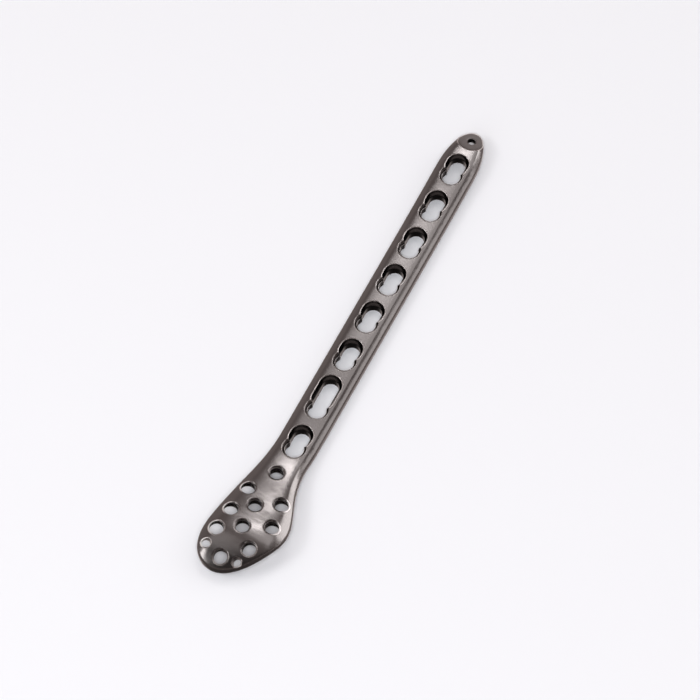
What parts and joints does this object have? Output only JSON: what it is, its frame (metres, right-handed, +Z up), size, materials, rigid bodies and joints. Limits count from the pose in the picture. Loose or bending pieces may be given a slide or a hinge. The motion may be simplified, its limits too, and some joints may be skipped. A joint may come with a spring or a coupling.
{
  "type": "orthopedic bone plate",
  "caption": "Long anatomically contoured locking bone plate with a slim shaft of combination screw holes, a tapered tip and a domed, flared head of round locking holes.",
  "frame": {"origin": "on the plane that the plate lies on, under the middle of its length and width", "axes": "+X along the plate from the flared head towards the tapered tip, +Y across it, +Z up out of the outer face, away from the bone"},
  "size_m": [0.1516, 0.0208, 0.0069],
  "materials": {
    "anodised_titanium": "satin dark grey-brown anodised titanium alloy, with slightly brighter rims round the holes"
  },
  "bodies": {
    "root": {"bone_plate": "anodised_titanium"}
  },
  "joints": []
}
